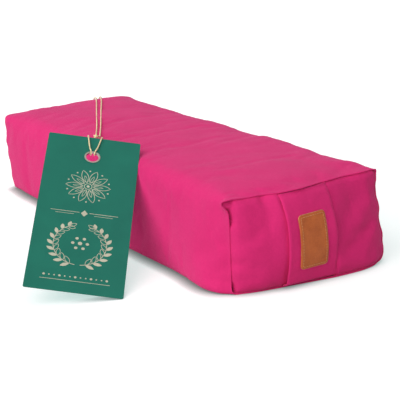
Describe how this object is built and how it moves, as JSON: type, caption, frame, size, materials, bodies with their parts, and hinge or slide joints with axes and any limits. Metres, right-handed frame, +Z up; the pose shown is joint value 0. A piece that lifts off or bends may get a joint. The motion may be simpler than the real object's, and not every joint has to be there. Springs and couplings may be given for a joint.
{
  "type": "yoga bolster",
  "caption": "Slim rectangular yoga bolster: zipped cotton cover over a bag of buckwheat hulls, a carrying handle with a leather patch on the end, and a card swing tag on twine.",
  "frame": {"origin": "on the floor under the middle of the cushion, on the flat face that it rests on", "axes": "+X along the length to the end with the leather patch, +Z up, and the zip on the long side at +Y"},
  "size_m": [0.7161, 0.4148, 0.1538],
  "materials": {
    "pink_cotton": "plain-woven cotton canvas, matt",
    "pink_cotton_end": "plain-woven cotton canvas, matt",
    "pink_handle": "doubled cotton canvas strap, matt",
    "tan_leather": "vegetable-tanned leather, bare",
    "tan_thread": "waxed thread",
    "natural_cotton": "unbleached cotton",
    "buckwheat_hulls": "loose buckwheat hulls",
    "pink_zip_tape": "woven tape",
    "pink_nylon": "nylon coil",
    "zip_metal": "die-cast, satin",
    "green_card": "printed card, matt",
    "eyelet_metal": "nickel-plated",
    "cream_twine": "cotton twine"
  },
  "bodies": {
    "cover": {"cover_body_panel": "pink_cotton", "cover_end_panel_near": "pink_cotton_end", "cover_end_panel_far": "pink_cotton_end", "handle_strap_near": "pink_handle", "handle_strap_far": "pink_handle", "leather_patch": "tan_leather", "patch_stitching": "tan_thread", "liner_bag": "natural_cotton", "liner_closing_thread": "natural_cotton", "buckwheat_filling": "buckwheat_hulls", "zip_tape_upper": "pink_zip_tape", "zip_tape_lower": "pink_zip_tape", "zip_coil_upper": "pink_nylon", "zip_coil_lower": "pink_nylon", "zip_top_stop_upper": "zip_metal", "zip_top_stop_lower": "zip_metal", "zip_bottom_stop": "zip_metal", "tag_knot": "cream_twine", "tag_twine": "cream_twine"},
    "zip_slider": {"zip_slider": "zip_metal"},
    "zip_pull": {"zip_pull_tab": "zip_metal"},
    "tag": {"tag_card": "green_card", "tag_eyelet": "eyelet_metal", "tag_loop": "cream_twine"}
  },
  "joints": [
    {"name": "zip_slide", "type": "slide", "parent": "cover", "child": "zip_slider", "axis": [-1, 0, 0], "range_m": [0, 0.426]},
    {"name": "zip_pull_hinge", "type": "hinge", "parent": "zip_slider", "child": "zip_pull", "pos_m": [0.213, 0.11432, 0.04241], "axis": [0, 0.1273, -0.9919], "range_deg": [0, 170]},
    {"name": "tag_swing", "type": "hinge", "parent": "cover", "child": "tag", "pos_m": [0.05072, -0.12506, 0.14357], "axis": [-0.4518, -0.8672, 0.2095], "range_deg": [0, 120]}
  ]
}
